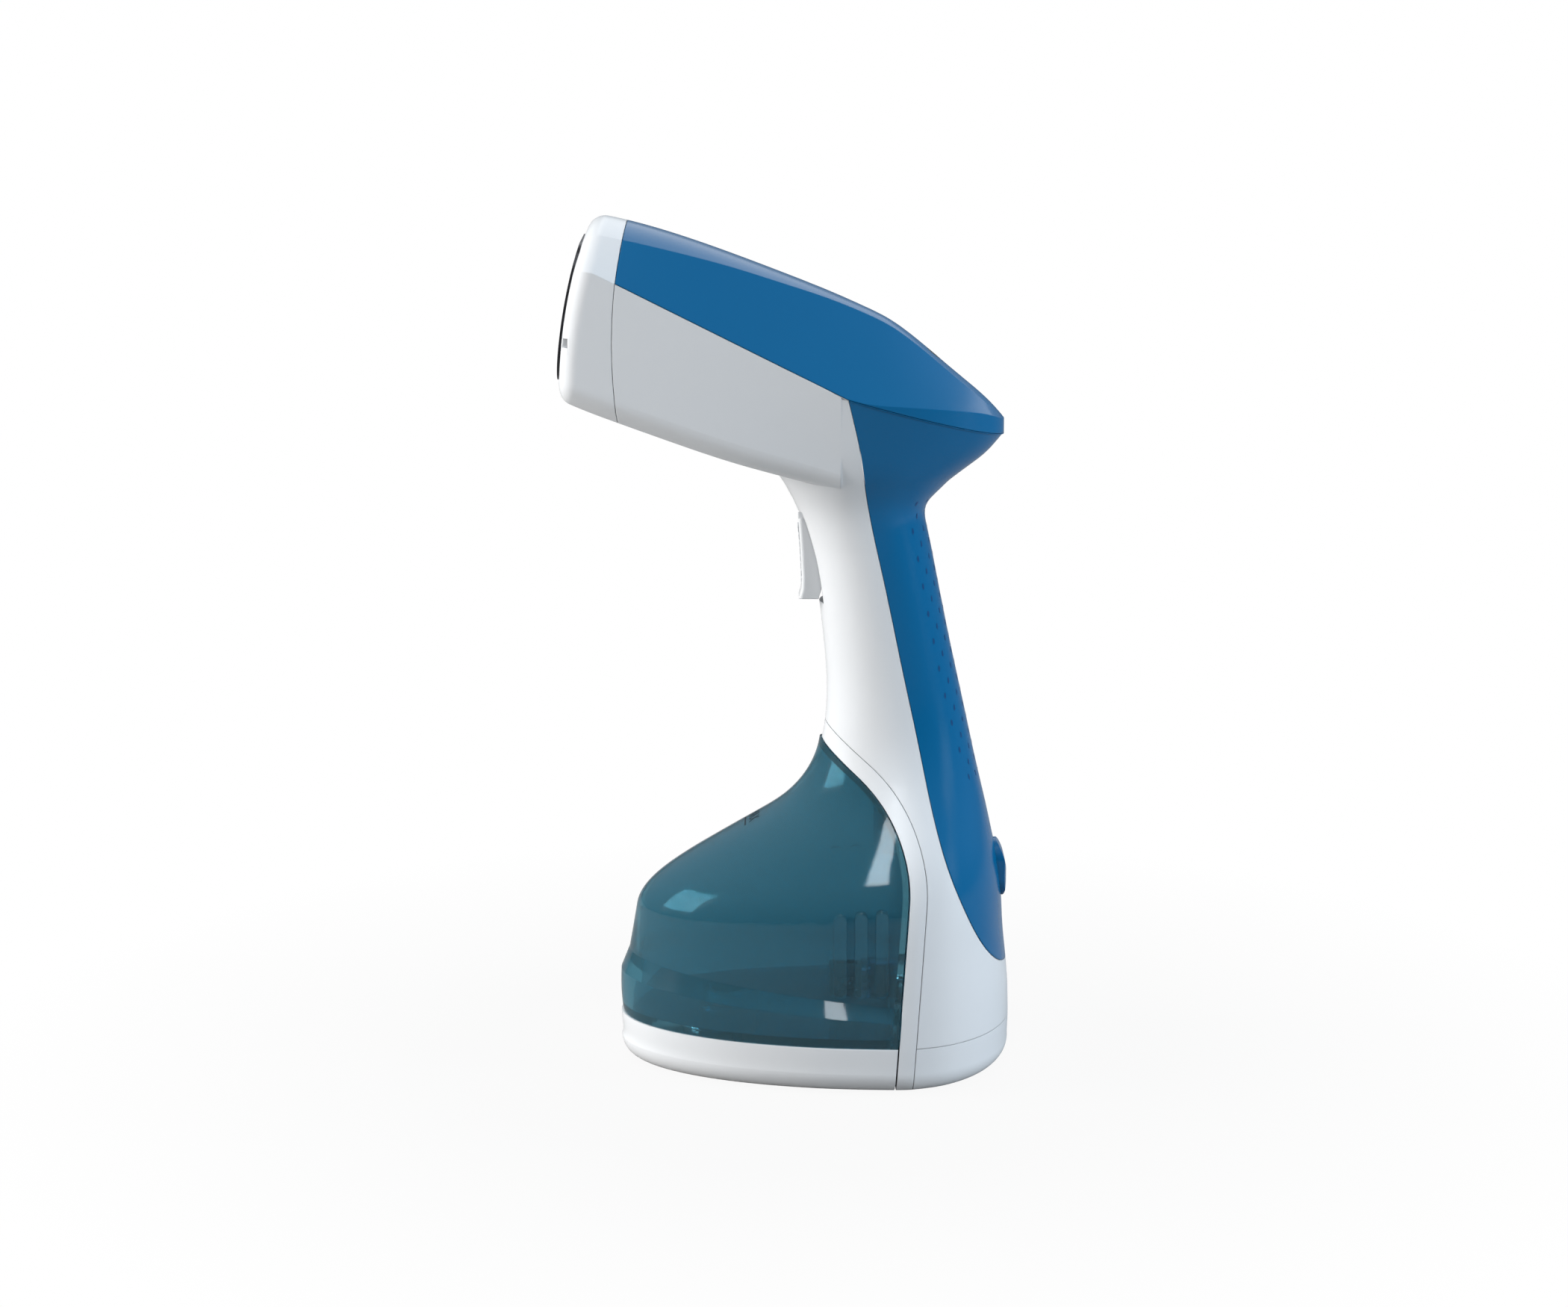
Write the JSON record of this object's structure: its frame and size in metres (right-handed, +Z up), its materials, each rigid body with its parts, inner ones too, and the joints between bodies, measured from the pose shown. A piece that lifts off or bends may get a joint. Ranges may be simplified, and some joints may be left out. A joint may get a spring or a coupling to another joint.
{
  "type": "handheld garment steamer",
  "caption": "Handheld garment steamer with a wedge-shaped steam head, a slim trigger handle and a clear lift-off water tank in the foot",
  "frame": {"origin": "on the standing plane, under the middle of the length of the foot", "axes": "+Z up, +X across the steamer (the outside is the same on both sides of X = 0), -Y towards the steam plate"},
  "size_m": [0.098, 0.1527, 0.2908],
  "materials": {
    "white_plastic": "smooth gloss",
    "blue_plastic": "smooth gloss",
    "clear_teal": "clear tinted gloss",
    "dark_metal": "matt coated",
    "cast_metal": "cast",
    "steel": "plain",
    "dark_rubber": "matt",
    "silicone": "soft matt",
    "grey_plastic": "fine matt",
    "brass": "plain",
    "board_green": "coated"
  },
  "bodies": {
    "body": {"housing_right": "white_plastic", "housing_left": "white_plastic", "top_cover": "blue_plastic", "rear_cover": "blue_plastic", "nozzle_bezel": "white_plastic", "base_cap": "white_plastic", "tank_bulkhead": "white_plastic", "inlet_nipple": "grey_plastic", "nipple_seal": "dark_rubber", "latch_pin": "steel", "steam_plate": "dark_metal", "plate_seal": "silicone", "heater_block": "cast_metal", "heater_lid": "cast_metal", "heater_screws": "steel", "thermostat": "brass", "thermal_fuse": "silicone", "trigger_pin": "steel", "micro_switch": "grey_plastic", "pump_body": "grey_plastic", "pump_cradle": "dark_rubber", "inlet_hose": "silicone", "steam_hose": "silicone", "control_board": "board_green", "board_parts": "grey_plastic", "wire_loom": "dark_rubber", "cord_gland": "grey_plastic", "cord_clamp": "grey_plastic", "body_feet": "dark_rubber", "housing_screws": "steel", "base_screws": "steel", "indicator_lens": "clear_teal", "button_spring": "steel", "trigger_spring": "steel"},
    "tank": {"tank_shell": "clear_teal", "fill_neck": "clear_teal", "tank_base": "white_plastic", "tank_feet": "dark_rubber", "fill_seal": "silicone", "fill_pin": "steel", "valve_cage": "grey_plastic", "valve_spring": "steel"},
    "tank_door": {"fill_door": "white_plastic"},
    "poppet": {"valve_poppet": "grey_plastic"},
    "trigger_body": {"trigger": "white_plastic", "trigger_pad": "grey_plastic"},
    "plunger": {"switch_plunger": "white_plastic"},
    "button": {"release_button": "blue_plastic"},
    "latch": {"latch_lever": "grey_plastic"},
    "piston": {"pump_piston": "steel"}
  },
  "joints": [
    {"name": "trigger_pull", "type": "hinge", "parent": "body", "child": "trigger_body", "pos_m": [0, 0.0032, 0.1866], "axis": [1, 0, 0], "range_deg": [0, 6.5], "stiffness_Nm_per_rad": 0.25, "springref_deg": -6.88, "deforming": ["trigger_spring"]},
    {"name": "plunger_slide", "type": "slide", "parent": "body", "child": "plunger", "axis": [0, 1, 0], "range_m": [0, 0.002]},
    {"name": "release_press", "type": "slide", "parent": "body", "child": "button", "axis": [0, -1, 0], "range_m": [0, 0.002], "stiffness_N_per_m": 900, "springref_m": -0.002, "deforming": ["button_spring"]},
    {"name": "latch_lift", "type": "hinge", "parent": "body", "child": "latch", "pos_m": [0, 0.044, 0.074], "axis": [-1, 0, 0], "range_deg": [0, 9.55]},
    {"name": "tank_slide", "type": "slide", "parent": "body", "child": "tank", "axis": [0, -1, 0], "range_m": [0, 0.13]},
    {"name": "fill_door_open", "type": "hinge", "parent": "tank", "child": "tank_door", "pos_m": [0, -0.0144, 0.0036], "axis": [1, 0, 0], "range_deg": [0, 100]},
    {"name": "valve_open", "type": "slide", "parent": "tank", "child": "poppet", "axis": [0, -1, 0], "range_m": [0, 0.0012], "stiffness_N_per_m": 300, "springref_m": -0.002, "deforming": ["valve_spring"]},
    {"name": "pump_stroke", "type": "slide", "parent": "body", "child": "piston", "axis": [0, 1, 0], "range_m": [0, 0.003], "stiffness_N_per_m": 400, "springref_m": -0.003}
  ],
  "couplings": [
    {"joint": "plunger_slide", "follows": "trigger_pull", "m_per_rad": 0.0168},
    {"joint": "latch_lift", "follows": "release_press", "rad_per_m": 83.333}
  ]
}
